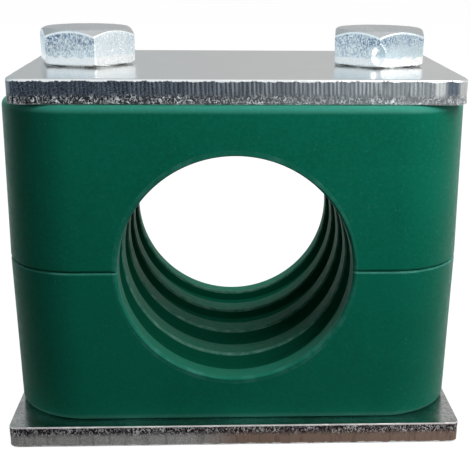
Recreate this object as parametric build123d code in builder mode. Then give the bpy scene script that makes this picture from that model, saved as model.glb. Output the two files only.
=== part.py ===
"""Two-bolt tube clamp, light series, for a tube of 25 mm outside diameter.

Two ribbed plastic halves close round the tube. They stand on a weld plate with drawn, threaded
collars, and two hexagon head bolts pull a flat cover plate down on them.

Frame: X runs along the clamp body, Y along the tube and Z up. The origin is the middle of the weld
plate's underside. All sizes are in millimetres.
"""

from build123d import *
import math
import os

os.makedirs("parts", exist_ok=True)

# The moulded halves
body_length = 50.0
body_depth = 30.0
half_height = 17.5
body_corner_radius = 8.0
mould_draft = 0.7  # degrees, so each half is widest at its parting face
outer_rim_bevel = 0.4
parting_edge_bevel = 0.15

# The ribbed seat for the tube
seat_radius = 12.5
seat_offset = 0.1  # each seat's centre lies this far beyond its half's parting face
seat_mouth_bevel = 0.5
groove_pitch = 6.9
groove_count = 4
groove_width = 4.1
groove_depth = 1.0
groove_wall_run = 0.4

# The steel plates
sheet_thickness = 2.6
weld_plate_length = 50.0
weld_plate_depth = 32.2
weld_plate_corner_radius = 0.7
weld_plate_edge_bevel = 0.15
cover_length = 47.2
cover_depth = 28.0
cover_corner_radius = 1.6
cover_edge_bevel = 0.25
cover_slip = 0.35  # the cover sits off centre by part of its bolt holes' clearance

# The M6 bolts and the holes that take them
bolt_spacing = 33.0
bolt_radius = 3.0
bolt_length = 40.0
bolt_tip_chamfer = 0.6
head_across_flats = 9.8
head_height = 4.0
head_top_radius = 4.7
head_chamfer_angle = 30.0
head_margin = 1.0  # the turning envelope reaches this far past the corners
washer_face_radius = 4.5
washer_face_height = 0.2
front_corner = 30.0  # degrees, brings a corner of the hexagon to the front
head_turns = {"bolt_left": 15.4, "bolt_right": -7.4}  # degrees, corner from the front, towards +X
body_hole_radius = 3.3
cover_hole_radius = 3.5
thread_clearance = 0.05

# The threaded collars drawn up from the weld plate
collar_radius = 4.5
collar_height = 2.8
collar_root_bevel = 0.5
collar_rim_bevel = 0.3
collar_mouth_bevel = 0.8
collar_recess_radius = 5.6
collar_recess_depth = 3.3

# Levels above the weld plate's underside
body_base = sheet_thickness
parting_level = body_base + half_height
body_top = parting_level + half_height
cover_top = body_top + sheet_thickness
head_top = cover_top + head_height
bolt_tip = cover_top - bolt_length


# Lower half: a rounded block with draft, opened by the ribbed seat and drilled for the bolts
seat_axis = Axis((0, 0, parting_level + seat_offset), (0, 1, 0))
groove_root = seat_radius + groove_depth
mouth_radius = seat_radius + seat_mouth_bevel
groove_centres = [groove_pitch * (i - (groove_count - 1) / 2) for i in range(groove_count)]
groove_section = [(-groove_width / 2, seat_radius), (groove_wall_run - groove_width / 2, groove_root)]
groove_section += [(-y, r) for y, r in reversed(groove_section)]

with BuildPart() as lower_clamp_half:
    with BuildSketch(Plane.XY.offset(parting_level)):
        RectangleRounded(body_length, body_depth, body_corner_radius)
    extrude(amount=-half_height, taper=mould_draft)
    chamfer(lower_clamp_half.faces().sort_by(Axis.Z)[0].edges(), outer_rim_bevel)
    chamfer(lower_clamp_half.faces().sort_by(Axis.Z)[-1].edges(), parting_edge_bevel)

    with BuildSketch(Plane(seat_axis.position, x_dir=(0, 1, 0), z_dir=(1, 0, 0))):
        with BuildLine():
            front_mouth = [(-body_depth, 0), (-body_depth, mouth_radius), (-body_depth / 2, mouth_radius)]
            front_mouth += [(seat_mouth_bevel - body_depth / 2, seat_radius)]
            back_mouth = [(-y, r) for y, r in reversed(front_mouth)]
            ribs = [(y + dy, r) for y in groove_centres for dy, r in groove_section]
            Polyline(*front_mouth, *ribs, *back_mouth, close=True)
        make_face()
    revolve(axis=seat_axis, mode=Mode.SUBTRACT)

    with Locations(Plane((0, 0, body_base), z_dir=(0, 0, -1))):
        with GridLocations(bolt_spacing, 0, 2, 1):
            CounterBoreHole(body_hole_radius, collar_recess_radius, collar_recess_depth)

# Upper half: the same moulding, turned over onto the lower one
with BuildPart() as upper_clamp_half:
    mirror(lower_clamp_half.part, about=Plane.XY.offset(parting_level))

# Weld plate: a sheared steel plate with two collars drawn up and tapped for the bolts
with BuildPart() as weld_plate:
    with BuildSketch():
        RectangleRounded(weld_plate_length, weld_plate_depth, weld_plate_corner_radius)
    extrude(amount=sheet_thickness)
    chamfer(weld_plate.faces().sort_by(Axis.Z)[-1].edges(), weld_plate_edge_bevel)
    with BuildSketch(Plane.XY.offset(sheet_thickness)):
        with GridLocations(bolt_spacing, 0, 2, 1):
            Circle(collar_radius)
    extrude(amount=collar_height)
    root_edges = weld_plate.edges(Select.LAST).filter_by(GeomType.CIRCLE).group_by(Axis.Z)[0]
    chamfer(root_edges, collar_root_bevel)
    chamfer(weld_plate.faces().sort_by(Axis.Z)[-2:].edges(), collar_rim_bevel)
    with GridLocations(bolt_spacing, 0, 2, 1):
        Hole(bolt_radius + thread_clearance)
    mouth_edges = weld_plate.edges(Select.LAST).filter_by(GeomType.CIRCLE).group_by(Axis.Z)[0]
    chamfer(mouth_edges, collar_mouth_bevel)

# Cover plate: a sheared steel plate, its upper edge eased where the shear rolled it over
with BuildPart() as cover_plate:
    with BuildSketch(Plane((cover_slip, 0, body_top))):
        RectangleRounded(cover_length, cover_depth, cover_corner_radius)
        with GridLocations(bolt_spacing, 0, 2, 1):
            Circle(cover_hole_radius, mode=Mode.SUBTRACT)
    extrude(amount=sheet_thickness)
    chamfer(cover_plate.faces().sort_by(Axis.Z)[-1].outer_wire().edges(), cover_edge_bevel)

# Bolts: hexagon heads with a turned chamfer and washer face, on plain shanks of the thread's size
head_reach = head_across_flats / 2 / math.cos(math.pi / 6) + head_margin
chamfer_drop = (head_reach - head_top_radius) * math.tan(math.radians(head_chamfer_angle))
bolts = {}
for (name, turn), x in zip(head_turns.items(), (-bolt_spacing / 2, bolt_spacing / 2)):
    with BuildPart() as bolt:
        with BuildSketch(Plane((x, 0, cover_top + washer_face_height))):
            RegularPolygon(head_across_flats / 2, 6, major_radius=False, rotation=turn + front_corner)
        extrude(amount=head_height - washer_face_height)
        with BuildSketch(Plane.XZ.shift_origin((x, 0, 0))):
            with BuildLine():
                Polyline(
                    (0, cover_top),
                    (head_reach, cover_top),
                    (head_reach, head_top - chamfer_drop),
                    (head_top_radius, head_top),
                    (0, head_top),
                    close=True,
                )
            make_face()
        revolve(axis=Axis((x, 0, 0), (0, 0, 1)), mode=Mode.INTERSECT)
        with BuildSketch(Plane((x, 0, cover_top))):
            Circle(washer_face_radius)
        extrude(amount=washer_face_height)
        with BuildSketch(Plane((x, 0, bolt_tip))):
            Circle(bolt_radius)
        extrude(amount=bolt_length)
        chamfer(bolt.faces().sort_by(Axis.Z)[0].edges(), bolt_tip_chamfer)
    bolts[name] = bolt

pieces = {
    "weld_plate": weld_plate,
    "lower_clamp_half": lower_clamp_half,
    "upper_clamp_half": upper_clamp_half,
    "cover_plate": cover_plate,
    **bolts,
}
for name, piece in pieces.items():
    piece.part.label = name
    export_step(piece.part, f"parts/{name}.step")
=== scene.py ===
"""Studio scene of the two-bolt tube clamp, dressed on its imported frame. All lengths are in metres."""

import math

import bmesh
import bpy
from mathutils import Matrix, Vector


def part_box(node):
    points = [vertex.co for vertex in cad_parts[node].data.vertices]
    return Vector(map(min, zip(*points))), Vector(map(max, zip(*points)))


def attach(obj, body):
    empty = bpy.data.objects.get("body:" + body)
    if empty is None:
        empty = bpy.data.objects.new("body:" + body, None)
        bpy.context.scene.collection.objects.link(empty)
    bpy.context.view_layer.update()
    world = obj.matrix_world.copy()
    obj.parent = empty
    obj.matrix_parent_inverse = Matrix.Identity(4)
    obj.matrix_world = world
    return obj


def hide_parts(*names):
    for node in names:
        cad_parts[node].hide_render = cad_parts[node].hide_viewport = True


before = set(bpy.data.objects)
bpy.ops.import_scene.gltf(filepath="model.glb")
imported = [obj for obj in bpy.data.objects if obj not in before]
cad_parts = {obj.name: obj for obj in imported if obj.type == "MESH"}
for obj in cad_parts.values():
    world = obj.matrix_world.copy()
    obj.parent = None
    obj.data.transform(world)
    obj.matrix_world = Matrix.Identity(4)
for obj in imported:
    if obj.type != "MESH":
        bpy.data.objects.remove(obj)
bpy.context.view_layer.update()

bpy.context.scene.view_settings.view_transform = "Standard"
mm = 0.001

# Where the frame puts things
weld_low, weld_high = (Vector(corner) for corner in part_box("weld_plate"))
cover_low, cover_high = (Vector(corner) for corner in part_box("cover_plate"))
lower_low, lower_high = (Vector(corner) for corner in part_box("lower_clamp_half"))
bolt_low, bolt_high = (Vector(corner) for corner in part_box("bolt_left"))
parting_level = lower_high.z
body_base = lower_low.z
cover_top = cover_high.z
head_top = bolt_high.z
bolt_tip = bolt_low.z
bolt_offset = 16.5 * mm
bolt_places = {"bolt_left": -bolt_offset, "bolt_right": bolt_offset}
head_turns = {"bolt_left": 15.4, "bolt_right": -7.4}  # degrees
nicked_bolt = "bolt_right"
crown_radius = 4.65 * mm  # of the flat top of each head
seating_gap = 0.01 * mm  # keeps faces that touch from coinciding


# ---------------------------------------------------------------- camera, floor and lights

camera_place = Vector((-1.5639, -108.906, 52.758)) * mm
camera_yaw, camera_pitch, camera_roll = 0.0429, 0.3228, -0.0088  # radians
camera_lens = 71.975
camera_shift = (-0.05125, 0.05621)
cool_white = (0.86, 0.95, 1.0)  # the studio's left side, except where it is seen directly


def set_camera():
    forward = Vector(
        (
            math.sin(camera_yaw) * math.cos(camera_pitch),
            math.cos(camera_yaw) * math.cos(camera_pitch),
            -math.sin(camera_pitch),
        )
    )
    level_right = Vector((math.cos(camera_yaw), -math.sin(camera_yaw), 0))
    level_down = forward.cross(level_right)
    right = level_right * math.cos(camera_roll) + level_down * math.sin(camera_roll)
    down = level_down * math.cos(camera_roll) - level_right * math.sin(camera_roll)
    lens = bpy.data.cameras.new("camera")
    lens.lens = camera_lens
    lens.shift_x, lens.shift_y = camera_shift
    lens.clip_start = 1 * mm
    camera = bpy.data.objects.new("camera", lens)
    turn = Matrix((right, -down, -forward)).transposed()
    camera.matrix_world = Matrix.Translation(camera_place) @ turn.to_4x4()
    bpy.context.collection.objects.link(camera)
    bpy.context.scene.camera = camera


class Wire:
    """An output socket. Sums and products of wires add Math nodes."""

    def __init__(self, nodes, socket):
        self.nodes = nodes
        self.socket = socket

    def math(self, operation, first, second):
        return self.nodes.add("Math", {"operation": operation}, [first, second])

    def __add__(self, other):
        return self.math("ADD", self, other)

    def __radd__(self, other):
        return self.math("ADD", other, self)

    def __sub__(self, other):
        return self.math("SUBTRACT", self, other)

    def __rsub__(self, other):
        return self.math("SUBTRACT", other, self)

    def __mul__(self, other):
        return self.math("MULTIPLY", self, other)

    def __pow__(self, other):
        return self.math("POWER", self, other)


class Nodes:
    """The nodes of one material or world, with the finishes' common patterns."""

    def __init__(self, tree):
        self.tree = tree
        tree.nodes.clear()

    def add(self, kind, settings=None, values=(), out=0):
        node = self.tree.nodes.new("ShaderNode" + kind)
        for name, value in (settings or {}).items():
            setattr(node, name, value)
        pairs = values.items() if isinstance(values, dict) else enumerate(values)
        for key, value in pairs:
            if isinstance(value, Wire):
                self.tree.links.new(value.socket, node.inputs[key])
            else:
                node.inputs[key].default_value = value
        return Wire(self, node.outputs[out])

    def place(self, centre=(0, 0, 0), stretch=(1, 1, 1)):
        """Object coordinates measured from centre and multiplied by stretch."""
        spot = self.add("TexCoord", out="Object")
        moved = self.add("VectorMath", {"operation": "SUBTRACT"}, [spot, centre])
        return self.add("VectorMath", {"operation": "MULTIPLY"}, [moved, stretch])

    def axes(self, vector):
        split = self.add("SeparateXYZ", None, [vector])
        return [split, *(Wire(self, split.socket.node.outputs[i]) for i in (1, 2))]

    def noise(self, size, detail=3.0, rough=0.5, vector=None, warp=0.0):
        """Soft noise from 0 to 1 whose blotches are about size across."""
        values = {"Vector": vector or self.place(), "Scale": 1 / size, "Detail": detail}
        values |= {"Roughness": rough, "Distortion": warp}
        return self.add("TexNoise", {"noise_dimensions": "3D"}, values, out="Fac")

    def span(self, value, low, high, to_low=0.0, to_high=1.0):
        """Maps low..high to to_low..to_high, eased and held beyond both ends."""
        settings = {"interpolation_type": "SMOOTHSTEP", "clamp": True}
        values = [value, low, high, to_low, to_high]
        return self.add("MapRange", settings, values)

    def blend(self, amount, first, second):
        """Colour first where amount is 0 and second where it is 1."""
        first, second = (c if isinstance(c, Wire) else (*c, 1) for c in (first, second))
        values = {"Factor": amount, 6: first, 7: second}
        return self.add("Mix", {"data_type": "RGBA"}, values, out=2)

    def bump(self, height, depth, strength=1.0, under=None):
        values = {"Height": height, "Distance": depth, "Strength": strength}
        if under:
            values["Normal"] = under
        return self.add("Bump", None, values)

    def close(self, shader, output):
        """Joins the shader to a material's or a world's output."""
        out = self.tree.nodes.new("ShaderNodeOutput" + output)
        self.tree.links.new(shader.socket, out.inputs["Surface"])


def background_share(nodes, seen, reflected):
    """How much of the white background a ray takes: seen directly, or in a reflection.

    Returns the wire that is 1 for rays straight from the camera, and that share.
    """
    rays = nodes.add("LightPath", out="Is Camera Ray")
    outputs = rays.socket.node.outputs
    glossy, through = (Wire(nodes, outputs[f"Is {ray} Ray"]) for ray in ("Glossy", "Transmission"))
    return rays, rays * seen + (glossy + through) * reflected


def set_floor():
    """A wide pale floor that keeps the clamp's soft shadow."""
    bpy.ops.object.select_all(action="DESELECT")
    bpy.ops.mesh.primitive_plane_add(size=6, location=(0, 0, -seating_gap))
    floor = bpy.context.object
    floor.name = "floor"
    material, nodes = new_finish("pale_floor")
    x, y, _ = nodes.axes(nodes.place())

    # Reflections see a whiter floor behind the clamp and far from it
    distance = (x * x + y * y) ** 0.5
    far = nodes.span(distance, 0.2, 0.3) * 0.7
    behind = nodes.span(y + x * 0.5, -0.06, 0.05) * 0.9
    reflected = nodes.add("Math", {"operation": "MAXIMUM"}, [behind, far])
    rays, share = background_share(nodes, 0.88, reflected)

    # The paper is dim to scattered light, lighter in reflections and lightest when seen directly
    glossy = Wire(nodes, rays.socket.node.outputs["Is Glossy Ray"])
    dim_tone, seen_gain, glossy_gain = 0.08, 0.72, 0.27
    tone = dim_tone + rays * seen_gain + glossy * glossy_gain
    paper = nodes.add("BsdfDiffuse", None, {"Color": tone})
    cool = (1 - rays) * (1 - nodes.span(x, -0.25, 0.05))
    glow = nodes.blend(cool, (1, 1, 1), cool_white)
    white = nodes.add("Emission", None, {"Color": glow, "Strength": 1.12})
    nodes.close(nodes.add("MixShader", None, [share, paper, white]), "Material")
    floor.data.materials.append(material)


def set_world():
    """A dim studio, seen as white behind the clamp and in its reflections."""
    world = bpy.data.worlds.new("studio")
    world.use_nodes = True
    bpy.context.scene.world = world
    nodes = Nodes(world.node_tree)
    x, y, _ = nodes.axes(nodes.add("TexCoord", out="Generated"))
    reflected = nodes.span(y, -0.2, 0.7, 1.0, 0.56) + x * 0.12
    rays, share = background_share(nodes, 1.0, reflected)
    dim = nodes.add("Background", None, {"Color": (1, 1, 1, 1), "Strength": 0.04})
    cool = (1 - rays) * (1 - nodes.span(x, -0.7, 0.2))
    glow = nodes.blend(cool, (1, 1, 1), cool_white)
    white = nodes.add("Background", None, {"Color": glow, "Strength": 1.0})
    nodes.close(nodes.add("MixShader", None, [share, dim, white]), "World")


# Name: place, size across, radiance and colour
softboxes = {
    "top": ((0.03, 0.05, 0.34), 0.32, 3.6, (1.0, 1.0, 1.0)),
    "right_front": ((0.05, -0.055, 0.085), 0.05, 5.0, (1.0, 1.0, 1.0)),
    "left_front": ((-0.26, -0.20, 0.12), 0.16, 0.12, (0.80, 0.91, 1.0)),
}
aim = Vector((0, 0, 22)) * mm


def set_lights():
    for name, (place, width, radiance, colour) in softboxes.items():
        light = bpy.data.lights.new(name, "AREA")
        light.shape = "SQUARE"
        light.size = width
        light.energy = radiance * math.pi * width * width
        light.color = colour
        lamp = bpy.data.objects.new(name, light)
        lamp.location = place
        lamp.rotation_euler = (aim - Vector(place)).to_track_quat("-Z", "Y").to_euler()
        lamp.visible_camera = False
        lamp.visible_glossy = name != "top"  # else the flat cover mirrors it
        bpy.context.collection.objects.link(lamp)


# ---------------------------------------------------------------- finishes


def new_finish(name):
    material = bpy.data.materials.new(name)
    material.use_nodes = True
    return material, Nodes(material.node_tree)


def close_finish(nodes, values):
    """Adds the shader with its values and joins it to the output."""
    nodes.close(nodes.add("BsdfPrincipled", None, values), "Material")


def green_plastic():
    """Satin moulded plastic. The seat's lands are scuffed pale; its grooves are painted dark as shade,
    and painted highlights lie along land edges, mouths, rims and the parting edge.
    """
    deep_green, light_green = (0.0025, 0.205, 0.116), (0.0035, 0.240, 0.145)
    mist_green, speck_green = (0.004, 0.280, 0.180), (0.09, 0.40, 0.31)
    groove_shade_green, scuffed_green = (0.0008, 0.10, 0.052), (0.13, 0.26, 0.19)
    land_edge_highlight_green, highlight_green = (0.30, 0.62, 0.52), (0.10, 0.42, 0.35)
    half_pitch, land_edge = 3.45 * mm, 1.2 * mm

    material, nodes = new_finish("green_plastic")
    x, y, z = nodes.axes(nodes.place((0, 0, parting_level)))
    radius = (x * x + z * z) ** 0.5
    from_middle = (y * y) ** 0.5
    from_joint = (z * z) ** 0.5

    # The seat's lands, grooves and mouths
    deep = 1 - nodes.span(from_middle, 14.1 * mm, 14.5 * mm)
    seat = (1 - nodes.span(radius, 13.55 * mm, 13.65 * mm)) * deep
    land = (1 - nodes.span(radius, 12.6 * mm, 12.7 * mm)) * deep
    groove = seat * (1 - land)
    mouth = (1 - deep) * (1 - nodes.span(radius, 13.0 * mm, 13.1 * mm))

    # Clouded green with fine pale specks
    cloud = nodes.noise(9 * mm, 3, 0.55)
    colour = nodes.blend(nodes.span(cloud, 0.3, 0.7), deep_green, light_green)
    mist = nodes.noise(0.35 * mm, 3, 0.6)
    colour = nodes.blend(nodes.span(mist, 0.35, 0.7) * 0.6, colour, mist_green)
    specks = nodes.span(nodes.noise(0.20 * mm, 2, 0.6), 0.64, 0.72)
    patchy = nodes.span(nodes.noise(2.5 * mm, 3, 0.6), 0.45, 0.7)
    colour = nodes.blend(specks * (0.2 + patchy * 0.6), colour, speck_green)

    # Grooves painted dark as shade, lands worn pale towards the back, and a painted highlight along one
    # edge of each land
    colour = nodes.blend(groove * 0.85, colour, groove_shade_green)
    scuffs_and_sheen = nodes.noise(1.1 * mm, 4, 0.6, nodes.place(stretch=(1, 3, 1)))
    scuffs_and_sheen = nodes.span(scuffs_and_sheen, 0.35, 0.75)
    worn = nodes.span(y, -14 * mm, -2 * mm, 0.35, 1.0)
    colour = nodes.blend(land * worn * (0.15 + scuffs_and_sheen * 0.42), colour, scuffed_green)
    # The pale line along each land's edge is a painted highlight, broken up by the scuff noise
    strip = nodes.add("Math", {"operation": "WRAP"}, [y, half_pitch, -half_pitch])
    from_edge = ((strip + land_edge) ** 2) ** 0.5
    land_edge_highlight = 1 - nodes.span(from_edge, 0.16 * mm, 0.26 * mm)
    colour = nodes.blend(land * land_edge_highlight * (0.15 + scuffs_and_sheen * 0.6), colour, land_edge_highlight_green)

    # Painted highlights on the mouth, the outer rims and the lower half's parting edge
    under_joint = 1 - nodes.span(z, -0.10 * mm, -0.03 * mm)
    seam = nodes.span(z, -0.30 * mm, -0.20 * mm) * under_joint * (1 - seat)
    rim = nodes.span(from_joint, 16.6 * mm, 17.0 * mm) * 0.35
    painted_highlights = mouth * (0.1 + patchy * 0.4) + seam * (0.45 + patchy * 0.5) + rim
    colour = nodes.blend(painted_highlights, colour, highlight_green)

    unevenness = nodes.span(nodes.noise(0.8 * mm, 3), 0.3, 0.7, -0.04, 0.06)
    rough = 0.40 + unevenness + land * 0.2 + groove * 0.45
    pebble = nodes.bump(nodes.noise(0.16 * mm, 2), 0.006 * mm, 0.6)
    sink = nodes.bump(nodes.noise(3.5 * mm, 2), 0.05 * mm, 0.5, pebble)
    close_finish(
        nodes,
        {"Base Color": colour, "Roughness": rough, "Specular IOR Level": 0.11, "Normal": sink},
    )
    return material


def sheared_zinc(name, thickness, torn_level, side, roll, torn_share, tones, paling, ribbing, far):
    """Zinc-plated sheet: a cloudy face, a painted highlight along the rolled edge, a speckled wall and
    a torn strip.

    Heights are taken from torn_level, the torn face, towards the rolled edge. From the first to the
    second place in far, the wall and the torn strip take on their far tones by paling; on the cover
    these far tones are pale, painted light that makes the wall lighter towards its right end, and on
    the weld sheet they are a brown tint.
    """
    lip_highlight_tone = (0.86, 0.88, 0.88)
    band_softness = 0.1 * mm
    tear = thickness * torn_share
    wall_top = thickness - roll

    material, nodes = new_finish(name)
    x, _, z = nodes.axes(nodes.place((0, 0, torn_level)))
    height = z * side

    # The sheared wall, and the torn strip at its foot
    waves = nodes.noise(0.9 * mm, 4, 0.7, nodes.place(stretch=(1, 1, 0.05)))
    border = wall_top + nodes.span(waves, 0.3, 0.7, -0.10 * mm, 0.12 * mm)
    above_face = nodes.span(height, 0.01 * mm, 0.03 * mm)
    wall = nodes.span(border - height, -0.02 * mm, 0.04 * mm) * above_face
    ragged = nodes.noise(0.8 * mm, 4, 0.65)
    torn = 1 - nodes.span(height + ragged * 0.9 * mm, tear + 0.1 * mm, tear + 0.8 * mm)
    across = nodes.span(x, *far) ** 1.45

    # Ribs that the blade drew up the wall, in uneven groups
    settings = {"wave_type": "BANDS", "bands_direction": "DIAGONAL"}
    values = {"Vector": nodes.place(stretch=(1, 1, 0.04)), "Scale": 0.628 / (0.43 * mm)}
    values |= {"Distortion": 3.0, "Detail": 2.0, "Detail Scale": 0.6}
    ribs = nodes.add("TexWave", settings, values, out="Fac")
    streaks = nodes.noise(0.17 * mm, 2, 0.5, nodes.place(stretch=(1, 1, 0.03)))
    groups = nodes.noise(1.1 * mm, 2, 0.5, nodes.place(stretch=(1, 1, 0.2)))
    groups = nodes.span(groups, 0.35, 0.6, 0.3, 1.0)
    ribs = nodes.span(ribs * 0.4 + streaks, 0.5, 0.9) * ribbing * (1 - torn) * groups

    # The face, with a painted highlight along its lip at the rolled edge
    cloud = nodes.noise(5 * mm, 4, 0.6)
    fine = nodes.noise(0.3 * mm, 4, 0.65)
    face = nodes.blend(nodes.span(cloud, 0.3, 0.7), *tones["face"])
    face = nodes.blend(nodes.span(fine, 0.4, 0.7) * tones["grain"], face, tones["speck"])
    lip = nodes.span(height, wall_top - 0.2 * mm, wall_top)
    lip = lip * (1 - nodes.span(height, thickness - 0.04 * mm, thickness))
    face = nodes.blend(lip * 0.8, face, lip_highlight_tone)

    # The wall: grit, ribs, dark runs, the far tones, and near the ends bands that are partly the wall's
    # own streaks and partly painted reflections of the rounded corners
    grit = nodes.noise(0.12 * mm, 3, 0.65)
    runs = nodes.noise(0.5 * mm, 3, 0.6, nodes.place(stretch=(1, 1, 0.15)))
    cut = nodes.blend(nodes.span(grit, 0.43, 0.62), *tones["wall"])
    cut = nodes.blend(ribs * (0.05 + across * 0.95), cut, tones["far"])
    cut = nodes.blend(across * across * paling, cut, tones["far"])
    cut = nodes.blend(nodes.span(grit, 0.5, 0.66) * across * 0.5 * ribbing, cut, tones["wall"][0])
    cut = nodes.blend(nodes.span(runs, 0.5, 0.7) * tones["runs"], cut, tones["torn"])
    for first, last, tone in tones["streak_and_reflection_bands"]:
        past_first = nodes.span(x, first - band_softness, first + band_softness)
        past_last = nodes.span(x, last - band_softness, last + band_softness)
        streak_and_reflection_band = past_first * (1 - past_last)
        cut = nodes.blend(streak_and_reflection_band * nodes.span(grit, 0.3, 0.5, 0.55, 1.0), cut, tone)

    # The torn strip's flecks, and a painted highlight as a thin line at its foot
    spots = nodes.noise(0.2 * mm, 3, 0.6, nodes.place(stretch=(1, 1, 0.7)), 1.0)
    patches = nodes.span(nodes.noise(1.4 * mm, 3, 0.6), 0.35, 0.65)
    flecks = nodes.span(spots, 0.51, 0.57) * (0.3 + patches * 0.7)
    pale_far = nodes.blend(across * paling, tones["torn"], tones["torn_far"])
    cut = nodes.blend(torn, cut, nodes.blend(flecks, pale_far, tones["fleck"]))
    foot_highlight = 1 - nodes.span(height, tones["line_width"] - 0.06 * mm, tones["line_width"])
    cut = nodes.blend(foot_highlight * tones["line"], cut, tones["glint"])

    rough = 0.21 + nodes.span(cloud, 0.3, 0.7, -0.04, 0.06) + wall * 0.16
    grain = nodes.bump(fine, 0.012 * mm, 0.6)
    ridges = nodes.bump(ribs * wall, 0.08 * mm, 0.8, grain)
    pits = nodes.bump(grit * wall + flecks * wall * torn, 0.03 * mm, 0.7, ridges)
    values = {"Base Color": nodes.blend(wall, face, cut), "Roughness": rough}
    values |= {"Metallic": 1 - wall * 0.2, "Normal": pits}
    close_finish(nodes, values)
    return material


def zinc_bolt():
    """Blue-white zinc over forged steel: mottled flats, a white foot painted as a reflection, painted
    shade on some flanks, and a grey crown.
    """
    foot_reflection_white, flat_white, painted_shade_white = (1.0, 1.0, 1.0), (0.92, 0.98, 1.0), (0.70, 0.82, 0.87)
    mottle_blue, streak_blue = (0.07, 0.15, 0.30), (0.50, 0.64, 0.74)
    crown_grey = (0.62, 0.635, 0.645)

    material, nodes = new_finish("bolt_zinc")
    x, y, z = nodes.axes(nodes.place())

    # Which bolt it is, and which side of its head's front corner. The flanks left of the corner
    # (rolled) take more dark blue mottle as painted shade and reflection; the right bolt's other flanks
    # are painted duller as shade.
    bolt_side = nodes.add("Math", {"operation": "SIGN"}, [x])
    beside = x - bolt_side * bolt_offset
    corner = 0.39 * mm - bolt_side * (1.11 * mm)
    rolled = 1 - nodes.span(beside - corner, -0.15 * mm, 0.15 * mm)
    right_flank_shade = nodes.span(bolt_side, 0, 1) * (1 - rolled)

    # The foot, painted white as a reflection of the cover, the flats above it, and the chamfer's cone
    # with the crown
    waver = nodes.span(nodes.noise(0.7 * mm, 2), 0.3, 0.7, -0.15 * mm, 0.15 * mm)
    rise = z - cover_top + waver
    above_foot = nodes.span(rise, 1.0 * mm, 1.2 * mm)
    deepening = nodes.span(rise, 0.8 * mm, 3.2 * mm, 0.4, 1.0)
    under_crown_shade = nodes.span(rise, 1.9 * mm, 2.9 * mm) * right_flank_shade * 0.6
    from_axis = (beside * beside + y * y) ** 0.5
    past_crown = nodes.add("Math", {"operation": "MAXIMUM"}, [from_axis - crown_radius, 0])
    over_cone = z - head_top + past_crown * 0.7
    flank = (1 - nodes.span(over_cone, -0.30 * mm, -0.16 * mm)) * above_foot * deepening
    crown = nodes.span(over_cone, -0.08 * mm, 0)

    mottle = nodes.noise(0.17 * mm, 3, 0.6, nodes.place(stretch=(1, 1, 0.8)), 0.8)
    clouds = nodes.noise(1.6 * mm, 3, 0.6)
    dark = nodes.span(mottle, 0.44, 0.56) * nodes.span(clouds, 0.35, 0.6, 0.55, 1.0)
    bluing_and_painted_light = nodes.blend(above_foot, foot_reflection_white, nodes.blend(right_flank_shade, flat_white, painted_shade_white))
    # shaded is the share of dark mottle: painted shade and reflection on the flanks left of the corner
    # and under the crown
    shaded = 0.3 + rolled * 0.7 + under_crown_shade
    colour = nodes.blend(dark * flank * shaded, bluing_and_painted_light, mottle_blue)
    colour = nodes.blend(crown * 0.85, colour, crown_grey)
    streaks = nodes.noise(0.14 * mm, 3, 0.6, nodes.place(stretch=(1, 1, 0.12)))
    colour = nodes.blend(nodes.span(streaks, 0.4, 0.7) * flank * 0.3, colour, streak_blue)

    rough = nodes.span(mottle, 0.3, 0.7, 0.24, 0.36)
    lines = nodes.bump(streaks, 0.010 * mm, 0.5)
    dents = nodes.bump(mottle, 0.02 * mm, 0.6, lines)
    close_finish(
        nodes,
        {"Base Color": colour, "Roughness": rough, "Metallic": 1.0, "Normal": dents},
    )
    return material


# ---------------------------------------------------------------- modelling by hand


def start(add, **settings):
    """Adds a primitive with nothing else selected, and opens it for editing."""
    if bpy.context.object and bpy.context.object.mode == "EDIT":
        bpy.ops.object.mode_set(mode="OBJECT")
    bpy.ops.object.select_all(action="DESELECT")
    add(**settings)
    bpy.ops.object.transform_apply(location=True, rotation=True, scale=True)
    bpy.ops.object.mode_set(mode="EDIT")
    bpy.context.tool_settings.mesh_select_mode = (True, False, False)
    return bpy.context.object


def pick(kind, wanted):
    """Selects only the edges or faces that wanted accepts."""
    modes = {"EDGE": (False, True, False), "FACE": (False, False, True)}
    bpy.context.tool_settings.mesh_select_mode = modes[kind]
    bpy.ops.mesh.select_all(action="DESELECT")
    mesh = bmesh.from_edit_mesh(bpy.context.edit_object.data)
    for part in {"EDGE": mesh.edges, "FACE": mesh.faces}[kind]:
        if wanted(part):
            part.select_set(True)
    mesh.select_flush_mode()
    bmesh.update_edit_mesh(bpy.context.edit_object.data)


def finish(piece, name):
    """Leaves edit mode with the normals outwards and names the piece."""
    bpy.ops.mesh.select_all(action="SELECT")
    bpy.ops.mesh.remove_doubles(threshold=0.0005 * mm)
    bpy.ops.mesh.normals_make_consistent(inside=False)
    bpy.ops.object.mode_set(mode="OBJECT")
    piece.name = name
    piece.data.name = name
    return piece


def apply_modifier(piece, kind, **settings):
    bpy.ops.object.select_all(action="DESELECT")
    piece.select_set(True)
    bpy.context.view_layer.objects.active = piece
    modifier = piece.modifiers.new(kind, kind)
    for name, value in settings.items():
        setattr(modifier, name, value)
    bpy.ops.object.modifier_apply(modifier=modifier.name)


def carve(piece, cutter, operation="DIFFERENCE"):
    """Cuts, joins or trims the piece with the cutter, which is used up."""
    apply_modifier(piece, "BOOLEAN", object=cutter, operation=operation, solver="EXACT")
    bpy.data.objects.remove(cutter, do_unlink=True)


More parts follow.
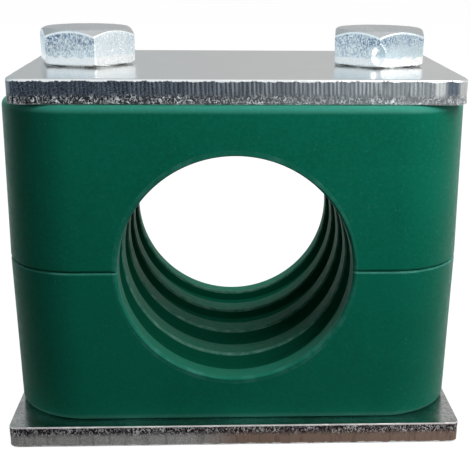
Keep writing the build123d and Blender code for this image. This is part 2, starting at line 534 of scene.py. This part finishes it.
def draw_profile(profile, x, foot=0.0):
    """Draws a line through (radius, height) points, out from the upright line through x."""
    piece = start(bpy.ops.mesh.primitive_plane_add, size=1 * mm)
    bpy.ops.mesh.merge(type="CENTER")
    radius, height = profile[0]
    bpy.ops.transform.translate(value=(x + radius, 0, foot + height))
    for (r0, z0), (r1, z1) in zip(profile, profile[1:]):
        move = {"value": (r1 - r0, 0, z1 - z0)}
        bpy.ops.mesh.extrude_vertices_move(TRANSFORM_OT_translate=move)
    return piece


def lathe(name, profile, x, steps):
    """Spins a profile of (radius, height) points about the upright line through x."""
    piece = draw_profile(profile, x)
    bpy.ops.mesh.select_all(action="SELECT")
    bpy.ops.mesh.spin(steps=steps, angle=2 * math.pi, center=(x, 0, 0), axis=(0, 0, 1))
    return finish(piece, name)


def raise_rows(rows, side, length, depth, middle):
    """Extrudes the picked face through rows of (height, inset), upwards if side is 1."""
    level, inset = 0.0, 0.0
    for row_level, row_inset in rows:
        if row_level > level:
            move = {"value": (0, 0, side * (row_level - level))}
            bpy.ops.mesh.extrude_region_move(TRANSFORM_OT_translate=move)
        along = (length - 2 * row_inset) / (length - 2 * inset)
        over = (depth - 2 * row_inset) / (depth - 2 * inset)
        bpy.ops.transform.resize(value=(along, over, 1), center_override=middle)
        level, inset = row_level, row_inset


def roughen(piece, weights, size, depth, stretch=(1, 1, 1)):
    """Pushes the surface in and out by noise. weights gives each corner's share of it."""
    group = piece.vertex_groups.new(name="rough")
    for corner in piece.data.vertices:
        group.add([corner.index], weights(corner.co), "REPLACE")
    texture = bpy.data.textures.new("unevenness", "CLOUDS")
    texture.noise_scale = size
    texture.noise_depth = 2
    guide = bpy.data.objects.new("guide", None)
    guide.scale = stretch
    bpy.context.collection.objects.link(guide)
    bpy.context.view_layer.update()
    apply_modifier(
        piece,
        "DISPLACE",
        texture=texture,
        texture_coords="OBJECT",
        texture_coords_object=guide,
        vertex_group="rough",
        strength=depth,
        mid_level=0.5,
    )
    piece.vertex_groups.remove(piece.vertex_groups["rough"])
    bpy.data.objects.remove(guide, do_unlink=True)


def shade(piece, degrees):
    bpy.ops.object.select_all(action="DESELECT")
    piece.select_set(True)
    bpy.context.view_layer.objects.active = piece
    bpy.ops.object.shade_smooth_by_angle(angle=math.radians(degrees))
    apply_modifier(piece, "WEIGHTED_NORMAL", keep_sharp=True)


def sheared_sheet(name, low, high, side, corner, roll, torn_share):
    """A sheet cut by shears: torn along one face and rolled over at the other.

    The rolled face is the upper one if side is 1 and the lower one if side is -1.
    """
    thickness = high.z - low.z
    length, depth = high.x - low.x, high.y - low.y
    centre = (low + high) / 2
    torn_level = low.z if side > 0 else high.z
    middle = (centre.x, centre.y, torn_level)
    longest_edge = 0.5 * mm
    edge_cuts = wall_rows = 15
    piece = start(bpy.ops.mesh.primitive_plane_add, size=1, location=middle)
    bpy.ops.transform.resize(value=(length, depth, 1), center_override=middle)
    bpy.ops.mesh.bevel(offset=corner, segments=8, affect="VERTICES")
    pick("FACE", lambda face: True)
    bpy.ops.mesh.delete(type="ONLY_FACE")
    for _ in range(2):
        pick("EDGE", lambda edge: edge.calc_length() > longest_edge)
        bpy.ops.mesh.subdivide(number_cuts=edge_cuts)
    bpy.ops.mesh.select_all(action="SELECT")
    bpy.ops.mesh.edge_face_add()
    pick("FACE", lambda face: True)

    # A slight easing of the torn face's edge, the wall, and the rolled edge as a quarter turn
    wall_height = thickness - roll
    wall_inset = 0.02 * mm
    easing = 0.1 * mm
    rows = [(0, easing), (easing * 0.29, easing * 0.29), (easing, 0)]
    for row in range(1, wall_rows + 1):
        rows.append((easing + (wall_height - easing) * row / wall_rows, wall_inset))
    turns = [math.radians(angle) for angle in (15, 30, 45, 60, 75, 90)]
    rows += [(wall_height + roll * math.sin(t), roll * (1 - math.cos(t))) for t in turns]
    raise_rows(rows, side, length, depth, middle)
    finish(piece, name)

    def between(least, most):
        return lambda corner: 1.0 if least < (corner.z - torn_level) * side < most else 0.0

    foot = 0.05 * mm
    on_edge = between(foot, thickness - 0.02 * mm)
    on_wall = between(foot, thickness - roll)
    on_tear = between(foot, thickness * torn_share)
    roughen(piece, on_edge, size=2.2 * mm, depth=0.05 * mm, stretch=(1, 1, 3))
    roughen(piece, on_wall, size=0.30 * mm, depth=0.06 * mm, stretch=(1, 1, 12))
    roughen(piece, on_tear, size=0.20 * mm, depth=0.10 * mm)
    return piece


def bolt_holes(piece, radius, low, high):
    for x in bolt_places.values():
        start(
            bpy.ops.mesh.primitive_cylinder_add,
            vertices=64,
            radius=radius,
            depth=high - low + 2 * mm,
            location=(x, 0, (low + high) / 2),
        )
        carve(piece, finish(bpy.context.object, "drill"))


def inside(piece, low, high):
    """Draws a piece in until it lies within its solid's box."""
    for axis in range(3):
        least = min(corner.co[axis] for corner in piece.data.vertices)
        most = max(corner.co[axis] for corner in piece.data.vertices)
        scale = min(1.0, (high[axis] - low[axis]) / (most - least))
        middle = (high[axis] + low[axis]) / 2
        for corner in piece.data.vertices:
            corner.co[axis] = middle + (corner.co[axis] - (most + least) / 2) * scale


def make_cover():
    left, right = cover_low.x, cover_high.x
    piece = sheared_sheet(
        "cover_sheet",
        cover_low,
        cover_high,
        side=1,
        corner=1.6 * mm,
        roll=0.30 * mm,
        torn_share=0.36,
    )
    bolt_holes(piece, 3.5 * mm, cover_low.z, cover_high.z)
    seated_low = cover_low + Vector((0, 0, seating_gap))
    inside(piece, seated_low, cover_high)
    shade(piece, degrees=40)
    tones = {
        "face": ((0.74, 0.76, 0.755), (0.80, 0.82, 0.81)),
        "grain": 0.2,
        "speck": (0.56, 0.57, 0.57),
        "wall": ((0.006, 0.010, 0.024), (0.13, 0.175, 0.24)),
        # The pale far tones are painted light: the wall and torn strip are painted lighter towards the
        # right end
        "far": (0.78, 0.84, 0.87),
        "runs": 0.3,
        "torn": (0.012, 0.014, 0.020),
        "torn_far": (0.58, 0.62, 0.64),
        "fleck": (0.95, 0.98, 1.0),
        "glint": (0.95, 0.98, 1.0),
        "line": 0.4,
        "line_width": 0.12 * mm,
        # Bands near the ends: partly the wall's own streaks, partly painted reflections of the rounded
        # corners
        "streak_and_reflection_bands": [
            (left, left + 0.7 * mm, (0.30, 0.34, 0.38)),
            (right - 3.7 * mm, right - 2.7 * mm, (0.90, 0.94, 0.95)),
            (right - 2.4 * mm, right - 1.3 * mm, (0.16, 0.20, 0.26)),
            (right - 1.1 * mm, right, (0.62, 0.64, 0.62)),
        ],
    }
    zinc = sheared_zinc(
        "cover_zinc",
        thickness=cover_high.z - cover_low.z,
        torn_level=cover_low.z,
        side=1,
        roll=0.25 * mm,
        torn_share=0.34,
        tones=tones,
        paling=0.5,
        ribbing=1.0,
        far=(left, right),
    )
    piece.data.materials.append(zinc)
    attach(piece, "cover")
    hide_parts("cover_plate")


def make_weld_sheet():
    high = Vector((weld_high.x, weld_high.y, body_base))
    piece = sheared_sheet(
        "weld_sheet",
        weld_low,
        high,
        side=-1,
        corner=0.7 * mm,
        roll=0.45 * mm,
        torn_share=0.35,
    )

    # Collars with a rounded root and a bevelled rim, drilled, and flared at the underside
    top = weld_high.z
    bore, sunk = 2.5 * mm, body_base - 0.4 * mm
    collar = [(bore, sunk), (5.3 * mm, sunk)]
    collar += [(r * mm, body_base + z * mm) for r, z in ((5.0, 0.12), (4.72, 0.42), (4.5, 0.9))]
    collar += [(4.5 * mm, top - 0.3 * mm), (4.2 * mm, top), (bore, top), (bore, sunk)]
    for x in bolt_places.values():
        carve(piece, lathe("collar", collar, x, steps=72), "UNION")
    bolt_holes(piece, 3.05 * mm, 0, top)
    mouth = [(0, -0.5), (4.3, -0.5), (4.3, 0), (3.6, 0.25), (3.2, 0.7), (3.0, 1.2)]
    mouth += [(0, 1.2), (0, -0.5)]
    for x in bolt_places.values():
        carve(piece, lathe("mouth", [(r * mm, z * mm) for r, z in mouth], x, steps=72))
    inside(piece, weld_low, weld_high)
    shade(piece, degrees=40)

    tones = {
        "face": ((0.42, 0.43, 0.42), (0.68, 0.69, 0.68)),
        "grain": 0.6,
        "speck": (0.22, 0.23, 0.22),
        "wall": ((0.33, 0.326, 0.315), (0.56, 0.553, 0.533)),
        "far": (0.26, 0.165, 0.12),
        "runs": 0.35,
        "torn": (0.018, 0.013, 0.018),
        "torn_far": (0.030, 0.014, 0.016),
        "fleck": (0.66, 0.64, 0.64),
        "glint": (0.96, 0.93, 0.92),
        "line": 0.95,
        "line_width": 0.24 * mm,
        "streak_and_reflection_bands": [],
    }
    zinc = sheared_zinc(
        "weld_sheet_steel",
        thickness=high.z - weld_low.z,
        torn_level=high.z,
        side=-1,
        roll=0.3 * mm,
        torn_share=0.42,
        tones=tones,
        paling=0.9,
        ribbing=0.0,
        far=(-9 * mm, 1 * mm),
    )
    piece.data.materials.append(zinc)
    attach(piece, "base")
    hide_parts("weld_plate")


def threaded_rod(x):
    """A rod whose thread is a zigzag profile spun up by its pitch, trimmed to a chamfered shank."""
    pitch, major, minor = 1.0 * mm, 2.97 * mm, 2.42 * mm
    turns = 40
    thread = [(minor, 0.12), (major, 0.44), (major, 0.56), (minor, 0.88), (minor, 1.0)]
    profile = [(0, 0), (minor, 0)]
    for turn in range(turns):
        rise = turn * pitch
        profile += [(r, rise + share * pitch) for r, share in thread]
    profile.append((0, turns * pitch))
    piece = draw_profile(profile, x, foot=bolt_tip - 1.5 * mm)
    bpy.ops.object.mode_set(mode="OBJECT")
    guide = bpy.data.objects.new("spin_axis", None)
    guide.location = (x, 0, 0)
    bpy.context.collection.objects.link(guide)
    bpy.context.view_layer.update()
    apply_modifier(
        piece,
        "SCREW",
        object=guide,
        angle=2 * math.pi,
        screw_offset=pitch,
        steps=40,
        render_steps=40,
        use_merge_vertices=True,
        merge_threshold=0.001 * mm,
    )
    bpy.data.objects.remove(guide, do_unlink=True)
    bpy.ops.object.mode_set(mode="EDIT")
    bpy.ops.mesh.select_all(action="SELECT")
    bpy.ops.mesh.remove_doubles(threshold=0.001 * mm)
    bpy.ops.mesh.fill_holes(sides=0)
    finish(piece, "rod")
    neck, shank, tip, chamfer = cover_top + 1.0 * mm, 3.0 * mm, 2.4 * mm, 0.6 * mm
    envelope = [(0, bolt_tip), (tip, bolt_tip), (shank, bolt_tip + chamfer)]
    envelope += [(shank, neck), (0, neck), (0, bolt_tip)]
    carve(piece, lathe("envelope", envelope, x, steps=64), "INTERSECT")
    return piece


def forged_head(name, x, turn):
    """A hexagon cut from a turned blank. One head has a nick scooped out of its front corner."""
    half_width = 4.9 * mm
    washer_radius, bevel_radius, reach = 4.5 * mm, 5.4 * mm, 6.3 * mm
    bevel_rise, drop = 0.6 * mm, 1.15 * mm
    foot = cover_top + 0.2 * mm
    profile = [(0, cover_top), (washer_radius, cover_top), (washer_radius, foot)]
    profile += [(bevel_radius, foot), (reach, foot + bevel_rise)]
    profile += [(reach, head_top - drop), (crown_radius, head_top), (0, head_top), (0, cover_top)]
    blank = lathe(name, profile, x, steps=120)
    start(
        bpy.ops.mesh.primitive_cylinder_add,
        vertices=6,
        radius=half_width / math.cos(math.pi / 6),
        depth=6 * mm,
        location=(x, 0, (cover_top + head_top) / 2),
        rotation=(0, 0, math.radians(turn)),
    )
    carve(blank, finish(bpy.context.object, "hexagon"), "INTERSECT")
    if name.startswith(nicked_bolt):
        corner = math.radians(turn - 90)
        nick_reach, nick_shift, nick_rise = 6.46 * mm, 0.2 * mm, 1.45 * mm
        nick_x = x - nick_shift + nick_reach * math.cos(corner)
        start(
            bpy.ops.mesh.primitive_uv_sphere_add,
            segments=24,
            ring_count=14,
            radius=1.5 * mm,
            location=(nick_x, nick_reach * math.sin(corner), cover_top + nick_rise),
        )
        carve(blank, finish(bpy.context.object, "nick"))
    return blank


def make_bolts():
    steel = zinc_bolt()
    for name, x in bolt_places.items():
        head = forged_head(name + "_zinc", x, head_turns[name])
        apply_modifier(head, "REMESH", mode="VOXEL", voxel_size=0.08 * mm)
        apply_modifier(head, "SMOOTH", factor=0.5, iterations=2)
        roughen(head, lambda corner: 1.0, size=0.5 * mm, depth=0.02 * mm)
        roughen(head, lambda corner: 1.0, size=3.0 * mm, depth=0.03 * mm)
        low, high = (Vector(corner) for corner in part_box(name))
        inside(head, Vector((low.x, low.y, cover_top)), high)
        shade(head, degrees=60)
        rod = threaded_rod(x)
        shade(rod, degrees=30)
        bpy.ops.object.select_all(action="DESELECT")
        rod.select_set(True)
        head.select_set(True)
        bpy.context.view_layer.objects.active = head
        bpy.ops.object.join()
        head.data.materials.clear()
        head.data.materials.append(steel)
        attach(head, name)
        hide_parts(name)


def seat_cutter(side):
    """The ribbed tube seat as a turned shape, laid along the tube."""
    # In mm: radii, and places along the tube from its middle. run is a groove wall's lean.
    seat, root, mouth, run = 12.5, 13.5, 13.0, 0.4
    groove_pitch, ease, eased_root = 6.9, 0.06, 0.12
    mouth_rounding, mouth_start = 0.5, -14.5
    rounding = (0.26, 0.52, 0.79, 1.05, 1.31, 1.57)  # radians
    entry = [(0, -17), (13.2, -17), (13.2, -15.0), (mouth, -15.0)]
    for t in rounding:
        entry.append((mouth - mouth_rounding * math.sin(t), mouth_start - mouth_rounding * math.cos(t)))
    front = [(seat, -2.38), (seat + ease, -2.30), (root - eased_root, run - 2.15), (root, run - 1.98)]
    back = [(root, 1.92 - run), (root - eased_root, 2.05 - run), (seat + ease, 2.03), (seat, 2.13)]
    profile = list(entry)
    for groove in (-1.5, -0.5, 0.5, 1.5):
        centre = groove * groove_pitch
        profile += [(r, centre + y) for r, y in front + back]
    profile += [(r, -y) for r, y in reversed(entry)]
    cutter = lathe("seat_cutter", [(r * mm, y * mm) for r, y in profile], 0, steps=180)
    bpy.ops.object.select_all(action="DESELECT")
    cutter.select_set(True)
    cutter.rotation_euler = (math.pi / 2, 0, 0)
    cutter.location = (0, 0, parting_level - side * 0.1 * mm)
    bpy.ops.object.transform_apply(location=True, rotation=True, scale=True)
    return cutter


def clamp_half(name, node, body, side):
    """One moulded half. side is -1 for the lower one and 1 for the upper one."""
    length, depth, height, corner = 50 * mm, 30 * mm, 17.5 * mm, 8 * mm
    draft, rim, lip = math.tan(math.radians(0.7)), 0.8 * mm, 0.3 * mm
    hole, recess = (3.3 * mm, 40 * mm), (5.6 * mm, 6.6 * mm)  # radius and length, half inside
    middle = (0, 0, parting_level)
    piece = start(bpy.ops.mesh.primitive_plane_add, size=1, location=middle)
    bpy.ops.transform.resize(value=(length, depth, 1), center_override=middle)
    bpy.ops.mesh.bevel(offset=corner, segments=28, affect="VERTICES")
    pick("FACE", lambda face: True)

    # A rounded parting lip, drafted sides and a rounded outer rim
    lip_turns = (math.pi / 6, math.pi / 3, math.pi / 2)
    rim_turns = [math.radians(angle) for angle in (0, 15, 30, 45, 60, 75, 90)]
    rim_level = height - rim
    rows = [(0, lip)]
    rows += [(lip * (1 - math.cos(t)), lip * (1 - math.sin(t))) for t in lip_turns]
    rows += [(rise * mm, rise * mm * draft) for rise in (3, 6, 9, 12, 15)]
    for t in rim_turns:
        rows.append((rim_level + rim * math.sin(t), rim_level * draft + rim * (1 - math.cos(t))))
    raise_rows(rows, side, length, depth, middle)
    finish(piece, name)

    carve(piece, seat_cutter(side))
    for x in bolt_places.values():
        for radius, drill_length in (hole, recess):
            start(
                bpy.ops.mesh.primitive_cylinder_add,
                vertices=72,
                radius=radius,
                depth=drill_length,
                location=(x, 0, parting_level + side * height),
            )
            carve(piece, finish(bpy.context.object, "drill"))
    shade(piece, degrees=32)
    piece.data.materials.append(plastic)
    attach(piece, body)
    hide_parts(node)


set_camera()
set_floor()
set_world()
set_lights()

plastic = green_plastic()
clamp_half("lower_half", "lower_clamp_half", "base", -1)
clamp_half("upper_half", "upper_clamp_half", "upper", 1)
make_cover()
make_weld_sheet()
make_bolts()
